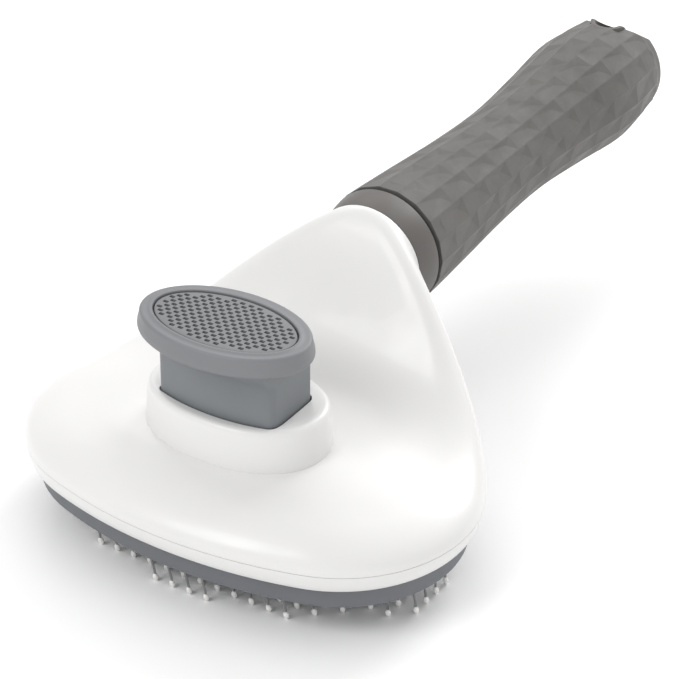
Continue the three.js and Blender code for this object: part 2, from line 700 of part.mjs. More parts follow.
function handleRing() {
  const bore = CORE_RADIUS + GAP;
  return turned([
    [bore, GAP], [NECK_RADIUS - GAP, GAP], [NECK_RADIUS, 2 * GAP], [RING_END_RADIUS, RING_LENGTH - GAP],
    [RING_END_RADIUS - GAP, RING_LENGTH], [bore, RING_LENGTH], [bore, GAP],
  ]);
}

// The grip's radius along the handle, through the driving radii.
function gripRadius(y) {
  const points = GRIP_RADII.map((radius, i) => {
    const along = mix(RING_LENGTH, HANDLE_LENGTH, i / (GRIP_RADII.length - 1));
    return new THREE.Vector2(radius, along);
  });
  const share = THREE.MathUtils.clamp((y - RING_LENGTH) / (HANDLE_LENGTH - RING_LENGTH), 0, 1);
  return new THREE.SplineCurve(points).getPoint(share).x;
}

// Every second row of facet corners is turned by half a facet, which makes the long triangles.
function rubberGrip() {
  const rings = [];
  const last = HANDLE_LENGTH - GRIP_BAND;
  for (let row = 0; row <= GRIP_ROWS; row++) {
    const y = mix(GRIP_START, last, row / GRIP_ROWS);
    rings.push(gripRing(gripRadius(y), y, row % 2 === 0 ? 0 : 0.5));
  }
  const turn = GRIP_ROWS % 2 === 0 ? 0 : 0.5;
  rings.push(gripRing(gripRadius(last) - GRIP_BAND_STEP, HANDLE_LENGTH - GRIP_END_CHAMFER, turn));
  rings.push(gripRing(GRIP_END_RADIUS, HANDLE_LENGTH, turn));
  const [boreRadius, boreEnd] = [CORE_RADIUS + GAP, CORE_LENGTH + GAP];
  const bore = turned([[0, 0], [boreRadius, 0], [boreRadius, boreEnd], [0, boreEnd]]);
  const hole = post(EYELET_RADIUS + EYELET_WALL + GAP, -FAR, FAR, 0, EYELET_Y, 24);
  return loft(rings).subtract(bore).subtract(hole).subtract(aboveScoop(0));
}

// Everything above the slanted scoop in which the hang hole opens.
function aboveScoop(raised) {
  const slab = block(FAR, FAR, 0, FAR, 0, 0);
  return slab.rotate([-SCOOP_ANGLE, 0, 0]).translate([0, SCOOP_Y, SCOOP_Z + raised]);
}

function gripRing(radius, y, turn) {
  const points = [];
  for (let i = 0; i < GRIP_SIDES; i++) {
    const angle = -((i + turn) / GRIP_SIDES) * 2 * Math.PI;
    points.push(new THREE.Vector3(radius * Math.cos(angle), y, radius * Math.sin(angle)));
  }
  return points;
}

function hangEyelet() {
  const reach = gripRadius(EYELET_Y) - EYELET_SUNK;
  const [inner, outer, edge] = [EYELET_RADIUS, EYELET_RADIUS + EYELET_WALL, EYELET_EDGE];
  const tube = turned([
    [inner, edge - reach], [inner + edge, -reach], [outer - edge, -reach], [outer, edge - reach],
    [outer, reach - edge], [outer - edge, reach], [inner + edge, reach], [inner, reach - edge],
    [inner, edge - reach],
  ], 24);
  return tube.rotate([90, 0, 0]).translate([0, EYELET_Y, 0]).subtract(aboveScoop(EYELET_PROUD));
}

// ---- assembly ----
function piece(name, manifold, finish) {
  const mesh = new THREE.Mesh(geometryOf(manifold), new THREE.MeshStandardMaterial(finish));
  mesh.name = name;
  return mesh;
}

function head() {
  const group = new THREE.Group();
  group.add(piece('upper_shell', upperShell(), WHITE));
  group.add(piece('lower_shell', lowerShell(), WHITE));
  group.add(piece('ejector_plate', ejectorPlate(), GREY));
  group.add(piece('pin_carrier', pinCarrier(), STEEL));
  group.add(piece('button_stem', buttonStem(), GREY));
  group.add(piece('button_cap', buttonCap(), CAP_GREY));
  group.add(piece('thumb_pad', thumbPad(), PAD_GREY));
  group.add(piece('return_spring', returnSpring(), STEEL));
  CARRIER_BOSSES.forEach(([x, y], i) => {
    const carrierScrew = screw(x, y, CARRIER_BOTTOM - SCREW_SEATING, CARRIER_TOP + CARRIER_SCREW_REACH);
    group.add(piece(`carrier_screw_${i + 1}`, carrierScrew, STEEL));
  });
  for (const [side, x] of [['left', -1], ['right', 1]]) {
    const plateScrew = screw(x * LEG_X, BUTTON_Y, PLATE_SCREW_SEAT - SCREW_SEATING, PLATE_SCREW_TIP);
    const shellSeat = SHELL_SCREW_SEAT - SCREW_SEATING;
    const shellScrew = screw(x * SHELL_SCREW_X, SHELL_SCREW_Y, shellSeat, SHELL_SCREW_TIP);
    group.add(piece(`plate_screw_${side}`, plateScrew, STEEL));
    group.add(piece(`shell_screw_${side}`, shellScrew, STEEL));
  }
  return group;
}

function handle() {
  const group = new THREE.Group();
  group.add(piece('handle_core', handleCore(), CORE));
  group.add(piece('handle_ring', handleRing(), TAUPE));
  group.add(piece('rubber_grip', rubberGrip(), RUBBER));
  const tangScrew = screw(0, TANG_SCREW_Y, TANG_SCREW_SEAT - SCREW_SEATING, TANG_SCREW_TIP);
  group.add(piece('tang_screw', tangScrew, STEEL));
  group.add(piece('hang_eyelet', hangEyelet(), TAUPE));
  group.position.set(0, NECK_Y, NECK_Z);
  return group;
}

const brush = new THREE.Group();
brush.add(head(), handle());
brush.position.set(0, -(FRONT_Y + BUTT_Y) / 2, -PIN_TIP);

export default brush;
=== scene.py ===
"""Looks of the slicker brush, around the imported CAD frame. Lengths are in millimetres in the head's own
frame (Y = 0 through the corner arcs' centres, Z = 0 on the parting plane) until finish_piece() moves them."""

import math

import bmesh
import bpy
from mathutils import Matrix, Vector


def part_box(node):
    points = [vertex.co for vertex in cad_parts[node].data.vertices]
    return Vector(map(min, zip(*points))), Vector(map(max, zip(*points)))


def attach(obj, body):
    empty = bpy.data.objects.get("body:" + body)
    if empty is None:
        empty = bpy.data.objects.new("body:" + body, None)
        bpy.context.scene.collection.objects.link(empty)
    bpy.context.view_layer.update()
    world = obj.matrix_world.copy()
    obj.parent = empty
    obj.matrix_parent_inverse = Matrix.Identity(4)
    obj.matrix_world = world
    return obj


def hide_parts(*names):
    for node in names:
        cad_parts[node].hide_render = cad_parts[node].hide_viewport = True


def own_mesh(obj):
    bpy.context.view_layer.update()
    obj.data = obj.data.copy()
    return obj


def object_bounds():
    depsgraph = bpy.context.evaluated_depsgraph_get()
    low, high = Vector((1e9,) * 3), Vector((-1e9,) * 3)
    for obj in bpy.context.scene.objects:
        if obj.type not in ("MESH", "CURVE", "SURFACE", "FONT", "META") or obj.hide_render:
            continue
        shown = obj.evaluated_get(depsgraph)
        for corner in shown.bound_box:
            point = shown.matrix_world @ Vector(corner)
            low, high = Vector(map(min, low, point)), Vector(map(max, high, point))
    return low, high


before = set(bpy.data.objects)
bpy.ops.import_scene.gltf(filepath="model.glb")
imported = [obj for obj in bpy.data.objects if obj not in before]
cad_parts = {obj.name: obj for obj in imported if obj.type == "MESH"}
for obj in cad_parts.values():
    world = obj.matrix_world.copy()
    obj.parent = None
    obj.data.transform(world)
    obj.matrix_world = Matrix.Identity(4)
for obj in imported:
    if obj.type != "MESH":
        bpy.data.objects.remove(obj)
CAD_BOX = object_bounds()

MM = 0.001
FRONT_Y = -33.53
PLATE_DEPTH = 10
HEAD_Y = CAD_BOX[0][1] / MM - FRONT_Y
PARTING_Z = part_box("ejector_plate")[0].z / MM + PLATE_DEPTH
TO_WORLD = Matrix.Scale(MM, 4) @ Matrix.Translation((0, HEAD_Y, PARTING_Z))

# head outline
HALF_WIDTH = 52.5
CORNER_RADIUS = 30
FRONT_RADIUS = 103.5
SIDE_START = math.radians(18)
SIDE_REACH = 26
NECK_REACH = 7.5
NECK_SPLAY = math.radians(-66)
NECK_RADIUS = 13.35
NECK_Y = 46.1
NECK_Z = 26
SPINE_START = -4
CORNER_X = HALF_WIDTH - CORNER_RADIUS
FRONT_CENTRE_Y = math.sqrt((FRONT_RADIUS - CORNER_RADIUS) ** 2 - CORNER_X**2)

# head profile
HEAD_HEIGHT = 10.2
EDGE_HEIGHT = 5.6
HEAD_SIDE = 0.5
HEAD_ROUND = 10
CROWN_REACH = 0.6
RISE_START = 4
RISE_POWER = 2.05
NECK_BLEND_START = 5
RIM_DEPTH = 4.4
RIM_ROUND = 1.9
BELLY_START = 27
PARTING_GAP = 0.11
WALL = 2

# plate and pins
PLATE_INSET = 2.9
PLATE_WALL = 1.3
PLATE_FLOOR = 1.8
PLATE_TOP = 1.3
PLATE_REAR_Y = 28
PLATE_CORNER_REACH = (-5, 7)
PLATE_REAR_FLAT = 20
PLATE_POINTS = 96
PIN_TIP = -18.3
PIN_LEAN = 2
PIN_WIRE = 0.27
PIN_BALL_RADIUS = 0.63
PIN_BALL_HALF_HEIGHT = 1.03
PIN_COLUMNS = 22
PIN_COLUMN_PITCH = 4.3
PIN_ROWS = 14
PIN_ROW_PITCH = 4
PIN_FIRST_ROW = -28.3
PIN_FIELD_INSET = 6.2
PIN_KEEP_OUT = 5.3
SLOT_SIZE = (2.3, 3.4)
SLOT_AHEAD = 1.2
CARRIER_INSET = 4.6
CARRIER_BOSSES = [(-32, -6), (32, -6), (-19, 16), (19, 16)]
PIN_CORNER_CUT = -40  # no pins in front of the line y = this + slope * |x|
PIN_CORNER_SLOPE = 0.7

# button
COLLAR_Y = -4.3
COLLAR_TOP = 19.6
COLLAR_HALF_WIDTH = 21.0
COLLAR_HALF_DEPTH = 14.0
COLLAR_SQUARENESS = 0.9
COLLAR_EDGE = 1.3
WELL_HALF_WIDTH = 19.1
WELL_HALF_DEPTH = 12.1
BUTTON_Y = -5.3
CAP_Y = -8.5
STEM_HALF_WIDTH = 14.2
STEM_HALF_DEPTH = 7.9
STEM_BULGE = 1.5
STEM_CORNER = 2.0
STEM_CLEARANCE = 0.3
STEM_BEND = 28
STEM_LEAN = 2.6
STEM_WALL = 1.8
STEM_TOP = 33.6
CAP_LOW = 33.9
CAP_TOP = 38.5
CAP_HALF_WIDTH = 20.1
CAP_HALF_DEPTH = 12.9
PAD_TOP = 38.2
PAD_HALF_WIDTH = 16.4
PAD_HALF_DEPTH = 9.2
DIMPLE_SIZE = (1.22, 0.84)
DIMPLE_DEPTH = 0.75
DIMPLE_COLUMN_PITCH = 2.1
DIMPLE_ROW_PITCH = 1.12
LEG_X = 14.6
LEG_RADIUS = 3.2
SPRING_RADIUS = 5
SPRING_WIRE = 0.55
SPRING_TURNS = 5.5

# fasteners and neck
SHELL_SCREW_X = 7.5
SHELL_SCREW_Y = 37.5
TANG_SIZE = (13, 30)
TANG_Y = NECK_Y + 13
TANG_HALF_THICKNESS = 4.4

# handle
HANDLE_LENGTH = 119.2
RING_LENGTH = 7
BORE_RADIUS = 9.5
BORE_END = 102.3
GRIP_RADII = [14.35, 13.36, 12.22, 11.89, 13.26, 14.86, 13.4]
GRIP_START = 8.2
GRIP_RIDGES = 18
GRIP_ROWS = 30
ROWS_PER_PIT = 3
PIT_DEPTH = 0.62
SCOOP_ANGLE = math.radians(36)
SCOOP_Y = 116
SCOOP_Z = 10.6
EYELET_Y = 112.6
EYELET_RADIUS = 3.4
EYELET_WALL = 1
EYELET_PROUD = 0.4


def smooth(t):
    t = min(max(t, 0), 1)
    return t * t * (3 - 2 * t)


def mix(a, b, t):
    return a + (b - a) * t


# ---- mesh helpers ----
def mesh_piece(name, verts, faces):
    """A mesh object with merged vertices and outward normals, still in millimetres."""
    mesh = bpy.data.meshes.new(name)
    mesh.from_pydata([tuple(v) for v in verts], [], faces)
    bm = bmesh.new()
    bm.from_mesh(mesh)
    bmesh.ops.remove_doubles(bm, verts=bm.verts, dist=1e-4)
    bmesh.ops.recalc_face_normals(bm, faces=bm.faces)
    bm.to_mesh(mesh)
    bm.free()
    obj = bpy.data.objects.new(name, mesh)
    bpy.context.scene.collection.objects.link(obj)
    return obj


def loft(name, rings):
    """Rings of equal point counts, closed with a flat face at each end."""
    count = len(rings[0])
    verts = [p for ring in rings for p in ring]
    faces = []
    for r in range(len(rings) - 1):
        for i in range(count):
            j = (i + 1) % count
            faces.append((r * count + i, r * count + j, (r + 1) * count + j, (r + 1) * count + i))
    last = (len(rings) - 1) * count
    faces.append(tuple(reversed(range(count))))
    faces.append(tuple(range(last, last + count)))
    return mesh_piece(name, verts, faces)


def lift(outline, z):
    return [(x, y, z) for x, y in outline]


def prism(name, outline, low, high):
    return loft(name, [lift(outline, low), lift(outline, high)])


def turned(name, profile, sides=96):
    """A closed ring about the Y axis from a closed profile of (radius, y) points."""
    verts, faces = [], []
    for k in range(sides):
        angle = 2 * math.pi * k / sides
        verts += [(r * math.cos(angle), y, r * math.sin(angle)) for r, y in profile]
    n = len(profile)
    for k in range(sides):
        for i in range(n):
            a, b = k * n, ((k + 1) % sides) * n
            j = (i + 1) % n
            faces.append((a + i, a + j, b + j, b + i))
    return mesh_piece(name, verts, faces)


def oval(half_width, half_depth, centre_y, steps=112, squareness=1.0):
    def bent(value):
        return math.copysign(abs(value) ** squareness, value)

    points = []
    for i in range(steps):
        angle = 2 * math.pi * i / steps
        points.append((half_width * bent(math.cos(angle)), centre_y + half_depth * bent(math.sin(angle))))
    return points


def boolean(piece, cutter, operation="DIFFERENCE"):
    modifier = piece.modifiers.new("cut", "BOOLEAN")
    modifier.operation = operation
    modifier.solver = "EXACT"
    modifier.object = cutter
    apply_modifiers(piece)
    old = cutter.data
    bpy.data.objects.remove(cutter)
    bpy.data.meshes.remove(old)
    return piece


def apply_modifiers(piece):
    evaluated = piece.evaluated_get(bpy.context.evaluated_depsgraph_get())
    mesh = bpy.data.meshes.new_from_object(evaluated)
    old = piece.data
    piece.modifiers.clear()
    piece.data = mesh
    bpy.data.meshes.remove(old)


def bevel(piece, width, segments=2, angle=35):
    modifier = piece.modifiers.new("bevel", "BEVEL")
    modifier.width = width
    modifier.segments = segments
    modifier.limit_method = "ANGLE"
    modifier.angle_limit = math.radians(angle)
    apply_modifiers(piece)


def boxes(name, places, size, low, high, corner=0.0):
    """Upright boxes, with clipped corners where corner is above zero."""
    verts, faces = [], []
    w, d = size[0] / 2, size[1] / 2
    c = corner
    outline = [(-w, -d + c), (-w + c, -d), (w - c, -d), (w, -d + c)]
    outline += [(w, d - c), (w - c, d), (-w + c, d), (-w, d - c)]
    if not corner:
        outline = [(-w, -d), (w, -d), (w, d), (-w, d)]
    n = len(outline)
    for x, y in places:
        start = len(verts)
        verts += [(x + a, y + b, low) for a, b in outline]
        verts += [(x + a, y + b, high) for a, b in outline]
        faces.append(tuple(reversed(range(start, start + n))))
        faces.append(tuple(range(start + n, start + 2 * n)))
        for i in range(n):
            j = (i + 1) % n
            faces.append((start + i, start + j, start + n + j, start + n + i))
    return mesh_piece(name, verts, faces)


def post(name, x, y, radius, low, high, sides=40):
    outline = [
        (x + radius * math.cos(2 * math.pi * i / sides), y + radius * math.sin(2 * math.pi * i / sides))
        for i in range(sides)
    ]
    return prism(name, outline, low, high)


def finish_piece(piece, body, material, nodes=(), sharp=32):
    """Moves a piece into the world frame, shades it and hands it to the frame."""
    piece.data.transform(TO_WORLD)
    for polygon in piece.data.polygons:
        polygon.use_smooth = True
    piece.data.set_sharp_from_angle(angle=math.radians(sharp))
    piece.data.materials.clear()
    piece.data.materials.append(material)
    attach(piece, body)
    if nodes:
        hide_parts(*nodes)
    return piece


# ---- materials ----
class Nodes:
    """Short helpers over one material's node tree."""

    def __init__(self, name, color, roughness, **sockets):
        self.material = bpy.data.materials.new(name)
        self.material.use_nodes = True
        self.tree = self.material.node_tree
        self.shader = self.tree.nodes["Principled BSDF"]
        self.shader.inputs["Base Color"].default_value = (*color, 1)
        self.shader.inputs["Roughness"].default_value = roughness
        for socket, value in sockets.items():
            self.shader.inputs[socket.replace("_", " ")].default_value = value
        self.coords = self.tree.nodes.new("ShaderNodeTexCoord").outputs["Object"]

    def noise(self, scale, detail=3, roughness=0.6, stretch=None):
        node = self.tree.nodes.new("ShaderNodeTexNoise")
        node.inputs["Scale"].default_value = scale
        node.inputs["Detail"].default_value = detail
        node.inputs["Roughness"].default_value = roughness
        source = self.coords
        if stretch:
            mapping = self.tree.nodes.new("ShaderNodeMapping")
            mapping.inputs["Scale"].default_value = stretch
            self.tree.links.new(source, mapping.inputs["Vector"])
            source = mapping.outputs["Vector"]
        self.tree.links.new(source, node.inputs["Vector"])
        return node.outputs["Fac"]

    def ramp(self, source, low, high):
        """Maps 0.3 to 0.7 of a noise onto low to high."""
        node = self.tree.nodes.new("ShaderNodeMapRange")
        node.inputs["From Min"].default_value = 0.3
        node.inputs["From Max"].default_value = 0.7
        node.inputs["To Min"].default_value = low
        node.inputs["To Max"].default_value = high
        self.tree.links.new(source, node.inputs["Value"])
        return node.outputs["Result"]

    def tint(self, source, dark, light):
        node = self.tree.nodes.new("ShaderNodeValToRGB")
        node.color_ramp.elements[0].position = 0.3
        node.color_ramp.elements[0].color = (*dark, 1)
        node.color_ramp.elements[1].position = 0.7
        node.color_ramp.elements[1].color = (*light, 1)
        self.tree.links.new(source, node.inputs["Fac"])
        self.tree.links.new(node.outputs["Color"], self.shader.inputs["Base Color"])

    def rough(self, source, low, high):
        self.tree.links.new(self.ramp(source, low, high), self.shader.inputs["Roughness"])

    def bumps(self, source, height, below=None):
        """A bump of this many metres; below chains a coarser one."""
        node = self.tree.nodes.new("ShaderNodeBump")
        node.inputs["Distance"].default_value = height
        self.tree.links.new(source, node.inputs["Height"])
        if below:
            self.tree.links.new(below, node.inputs["Normal"])
        self.tree.links.new(node.outputs["Normal"], self.shader.inputs["Normal"])
        return node.outputs["Normal"]


def scaled(color, factor):
    return tuple(c * factor for c in color)


def moulded(name, color, rough, grain, grain_height, spread=0.05, **sockets):
    """Moulded plastic: fine grain, a little waviness and uneven gloss."""
    n = Nodes(name, color, rough, **sockets)
    broad = n.noise(28, 2)
    fine = n.noise(grain, 2, 0.55)
    n.tint(broad, scaled(color, 1 - spread), scaled(color, 1 + spread))
    n.rough(n.noise(140, 3), rough - 0.06, rough + 0.06)
    n.bumps(fine, grain_height, n.bumps(n.noise(90, 2), 0.00002))
    return n.material


WHITE = moulded("white_abs", (0.725, 0.72, 0.71), 0.34, 2600, 0.0000025, 0.012, Coat_Weight=0.12)
PLATE_GREY = moulded("plate_grey", (0.125, 0.132, 0.145), 0.5, 3200, 0.00001, 0.05)
STEM_GREY = moulded("stem_grey", (0.167, 0.178, 0.188), 0.46, 3600, 0.000008, 0.05)
CAP_GREY = moulded("cap_grey", (0.186, 0.189, 0.199), 0.5, 3600, 0.000008, 0.04)
PAD_GREY = moulded("pad_grey", (0.196, 0.199, 0.206), 0.7, 4200, 0.000012, 0.05)
TAUPE = moulded("taupe_ring", (0.108, 0.1, 0.094), 0.5, 3000, 0.000012, 0.06)
DARK = moulded("core_black", (0.028, 0.027, 0.026), 0.6, 2600, 0.00001, 0.1)
PIN_BALL = moulded("pin_ball", (0.86, 0.85, 0.83), 0.25, 1800, 0.000004, 0.08)


def steel(name, color, rough, stretch):
    n = Nodes(name, color, rough, Metallic=1.0)
    n.tint(n.noise(60, 3), scaled(color, 0.85), color)
    brushed = n.noise(900, 3, 0.6, stretch)
    n.rough(brushed, rough - 0.08, rough + 0.12)
    n.bumps(brushed, 0.000004)
    return n.material


WIRE = steel("pin_wire", (0.32, 0.32, 0.33), 0.28, (1, 1, 0.1))
SCREW = steel("screw_zinc", (0.55, 0.55, 0.55), 0.3, (1, 1, 1))
SPRING = steel("spring_wire", (0.5, 0.5, 0.5), 0.25, (1, 1, 0.3))


def rubber():
    """Soft-touch rubber: matt, dusty along its ridges, finely pebbled."""
    color = (0.1, 0.094, 0.088)
    n = Nodes("grip_rubber", color, 0.68, Sheen_Weight=0.12, Sheen_Roughness=0.5)
    n.tint(n.noise(42, 4, 0.65), scaled(color, 0.86), scaled(color, 1.14))
    n.rough(n.noise(160, 3), 0.6, 0.78)
    n.bumps(n.noise(2600, 2, 0.6), 0.000025, n.bumps(n.noise(420, 3), 0.00004))
    return n.material


RUBBER = rubber()


# ---- head surfaces ----
def half_outline(inset, front=26, corner=30, side=44):
    """Points of the right half from the middle of the front edge to the neck."""
    points = []
    join = math.atan2(-FRONT_CENTRE_Y, CORNER_X)
    for i in range(front):
        angle = mix(-math.pi / 2, join, i / front)
        radius = FRONT_RADIUS - inset
        points.append((radius * math.cos(angle), FRONT_CENTRE_Y + radius * math.sin(angle)))
    for i in range(corner):
        angle = mix(join, SIDE_START, i / corner)
        radius = CORNER_RADIUS - inset
        points.append((CORNER_X + radius * math.cos(angle), radius * math.sin(angle)))
    start = Vector((CORNER_X + CORNER_RADIUS * math.cos(SIDE_START), CORNER_RADIUS * math.sin(SIDE_START)))
    end = Vector((NECK_RADIUS, NECK_Y))
    first = start + SIDE_REACH * Vector((-math.sin(SIDE_START), math.cos(SIDE_START)))
    second = end + NECK_REACH * Vector((math.cos(NECK_SPLAY), math.sin(NECK_SPLAY)))
    for i in range(side + 1):
        t = i / side
        u = 1 - t
        point = start * u**3 + first * (3 * u * u * t) + second * (3 * u * t * t) + end * t**3
        along = (first - start) * (u * u) + (second - first) * (2 * u * t) + (end - second) * (t * t)
        along.normalize()
        points.append((point.x - along.y * inset, point.y + along.x * inset))
    return points


def clipped(points, end_y):
    kept = [p for p in points if p[1] < end_y - 1e-6]
    if len(kept) == len(points):
        return points
    a, b = kept[-1], points[len(kept)]
    t = (end_y - a[1]) / (b[1] - a[1])
    return kept + [(mix(a[0], b[0], t), end_y)]


def parting_height(y):
    along = min(max((y - RISE_START) / (NECK_Y - RISE_START), 0), 1)
    return NECK_Z * smooth(along**RISE_POWER)


def neck_blend(y):
    return smooth((y - NECK_BLEND_START) / (NECK_Y - NECK_BLEND_START))


def top_shape(inset):
    def shape(y):
        blend = neck_blend(y)
        return (
            parting_height(y),
            mix(HEAD_SIDE, 0, blend),
            mix(EDGE_HEIGHT, NECK_RADIUS, blend) - inset,
            mix(HEAD_ROUND, NECK_RADIUS, blend) - inset,
            mix(HEAD_HEIGHT - EDGE_HEIGHT, 0, blend),
        )

    return shape


def belly_shape(y):
    low = mix(-RIM_DEPTH, NECK_Z - NECK_RADIUS, smooth((y - BELLY_START) / (NECK_Y - BELLY_START)))
    base = parting_height(y)
    return base, -PARTING_GAP, low - base, mix(RIM_ROUND, NECK_RADIUS, neck_blend(y)), 0


def flat_shape(drop):
    return lambda y: (parting_height(y), -drop, -drop, HEAD_ROUND, 0)


def level_shape(height):
    return lambda y: (0, height, height, HEAD_ROUND, 0)


def rib(edge, shape, steps=14, flats=12):
    """Points from the outline's edge to the spine on the plane X = 0."""
    edge_x, edge_y = edge
    spine_y = max(edge_y, SPINE_START)
    length = math.hypot(edge_x, spine_y - edge_y)
    base, side, rise, rounding, crown = shape(spine_y)
    stations = []
    for k in range(steps + 1):
        angle = (k / steps) * math.pi / 2
        share = min(rounding * (1 - math.cos(angle)) / length, 1)
        stations.append((share, side + (rise - side) * math.sin(angle)))
    start = stations[-1][0]
    for k in range(1, flats + 1):
        stations.append((mix(start, 1, k / flats), rise))
    points = []
    for share, height in stations:
        z = base + height + crown * smooth(share / CROWN_REACH)
        points.append((mix(edge_x, 0, share), mix(edge_y, spine_y, share), z))
    return points


def between(name, half, lower_shape, upper_shape):
    """The closed solid between two surfaces over the outline."""
    verts, faces = [], []
    lower = [rib(edge, lower_shape) for edge in half]
    upper = [rib(edge, upper_shape) for edge in half]
    steps = len(upper[0])
    for mirror in (1, -1):
        start = len(verts)
        for ribs in (lower, upper):
            for points in ribs:
                verts += [(mirror * x, y, z) for x, y, z in points]
        top = start + len(half) * steps

        def at(base, i, k):
            return base + i * steps + k

        for i in range(len(half) - 1):
            for k in range(steps - 1):
                faces.append((at(top, i, k), at(top, i + 1, k), at(top, i + 1, k + 1), at(top, i, k + 1)))
                under = (at(start, i, k + 1), at(start, i + 1, k + 1), at(start, i + 1, k), at(start, i, k))
                faces.append(under)
            faces.append((at(start, i, 0), at(start, i + 1, 0), at(top, i + 1, 0), at(top, i, 0)))
        last = len(half) - 1
        for k in range(steps - 1):
            faces.append((at(start, last, k), at(start, last, k + 1), at(top, last, k + 1), at(top, last, k)))
    return mesh_piece(name, verts, faces)


def resampled(points, count):
    """The same line with count points, evenly spaced along it."""
    lengths = [0]
    for a, b in zip(points, points[1:]):
        lengths.append(lengths[-1] + math.dist(a, b))
    result, k = [], 0
    for i in range(count):
        target = lengths[-1] * i / (count - 1)
        while k < len(points) - 2 and lengths[k + 1] < target:
            k += 1
        t = (target - lengths[k]) / (lengths[k + 1] - lengths[k])
        (x0, y0), (x1, y1) = points[k], points[k + 1]
        result.append((mix(x0, x1, t), mix(y0, y1, t)))
    return result


def plate_outline(inset):
    front = clipped(half_outline(inset), 18)
    corner = Vector(front[-1])
    rear_y = PLATE_REAR_Y - inset + PLATE_INSET
    first, end = corner + Vector(PLATE_CORNER_REACH), Vector((0, rear_y))
    second = Vector((PLATE_REAR_FLAT, rear_y))
    half = list(front)
    for i in range(1, 29):
        t = i / 28
        u = 1 - t
        p = corner * u**3 + first * (3 * u * u * t) + second * (3 * u * t * t) + end * t**3
        half.append((p.x, p.y))
    half = resampled(half, PLATE_POINTS)
    left = [(-x, y) for x, y in reversed(half[1:-1])]
    return half + left


def is_inside(x, y, outline):
    inside = False
    previous = outline[-1]
    for point in outline:
        (xi, yi), (xj, yj) = point, previous
        if (yi > y) != (yj > y) and x < (xj - xi) * (y - yi) / (yj - yi) + xi:
            inside = not inside
        previous = point
    return inside


def pin_roots():
    """Pin roots on a grid inside the pin field, clear of the bosses and the button's legs."""
    field = plate_outline(PIN_FIELD_INSET)
    keep_out = CARRIER_BOSSES + [(-LEG_X, BUTTON_Y), (LEG_X, BUTTON_Y)]
    roots = []
    for row in range(PIN_ROWS):
        for column in range(PIN_COLUMNS):
            x = (column - (PIN_COLUMNS - 1) / 2) * PIN_COLUMN_PITCH
            y = PIN_FIRST_ROW + row * PIN_ROW_PITCH
            middle = y + SLOT_AHEAD
            clear = all(math.hypot(x - px, middle - py) > PIN_KEEP_OUT for px, py in keep_out)
            behind_cut = middle > PIN_CORNER_CUT + PIN_CORNER_SLOPE * abs(x)
            if clear and behind_cut and is_inside(x, middle, field):
                roots.append((x, y))
    return roots


def stem_outline(grow, middle_y=BUTTON_Y):
    """Flat ends, bowed front and back, rounded corners; the back right quarter is repeated four times."""
    half_width, half_depth = STEM_HALF_WIDTH + grow, STEM_HALF_DEPTH + grow
    radius = STEM_CORNER + grow / 2
    quarter = []
    for i in range(13):
        across = i / 12
        quarter.append((across * (half_width - radius), half_depth + STEM_BULGE * (1 - across**2)))
    for i in range(1, 7):
        angle = math.radians(mix(76, 0, i / 6))
        x = half_width - radius + radius * math.cos(angle)
        y = half_depth - radius + radius * math.sin(angle)
        quarter.append((x, y))
    points = [(x, middle_y + y) for x, y in reversed(quarter)]
    points += [(-x, middle_y + y) for x, y in quarter[1:]]
    points += [(-x, middle_y - y) for x, y in reversed(quarter)]
    points += [(x, middle_y - y) for x, y in quarter[1:]]
    return points


# ---- white shells ----
def collar_oval(half_width, half_depth):
    return oval(half_width, half_depth, COLLAR_Y, 128, COLLAR_SQUARENESS)


def make_upper_shell():
    shell = between("shell_top", half_outline(0), flat_shape(0), top_shape(0))
    inner = clipped(half_outline(WALL), 36)
    boolean(shell, between("cavity", inner, level_shape(-RIM_DEPTH), top_shape(WALL)))

    def ring(shrink, z):
        return lift(collar_oval(COLLAR_HALF_WIDTH - shrink, COLLAR_HALF_DEPTH - shrink), z)

    rings = [ring(0, 8.6), ring(0, 10.4)]
    for k in range(7):
        angle = k / 6 * math.pi / 2
        shrink = 0.5 + COLLAR_EDGE * (1 - math.cos(angle))
        rings.append(ring(shrink, COLLAR_TOP - COLLAR_EDGE + COLLAR_EDGE * math.sin(angle)))
    rings += [ring(2.6, COLLAR_TOP - 0.12), ring(4.6, COLLAR_TOP - 0.5), ring(9, COLLAR_TOP - 0.6)]
    boolean(shell, loft("collar", rings), "UNION")
    boolean(shell, loft("well", [lift(collar_oval(WELL_HALF_WIDTH, WELL_HALF_DEPTH), z) for z in (0, 17)]))
    boolean(shell, prism("mouth", stem_outline(STEM_CLEARANCE), 0, 25))
    tang = boxes("tang", [(0, TANG_Y)], TANG_SIZE, NECK_Z, NECK_Z + TANG_HALF_THICKNESS)
    boolean(shell, tang, "UNION")
    finish_piece(shell, "brush", WHITE, ["upper_shell"])


def make_lower_shell():
    shell = between("shell_bottom", half_outline(0), belly_shape, flat_shape(PARTING_GAP))
    boolean(shell, prism("pocket", plate_outline(PLATE_INSET - 0.45), -60, 60))
    for x in (-SHELL_SCREW_X, SHELL_SCREW_X):
        boolean(shell, post("bore", x, SHELL_SCREW_Y, 2.8, -60, 9.5))
    tang = boxes("tang", [(0, TANG_Y)], TANG_SIZE, NECK_Z - TANG_HALF_THICKNESS, NECK_Z - 0.6)
    boolean(shell, tang, "UNION")
    finish_piece(shell, "brush", WHITE, ["lower_shell"])


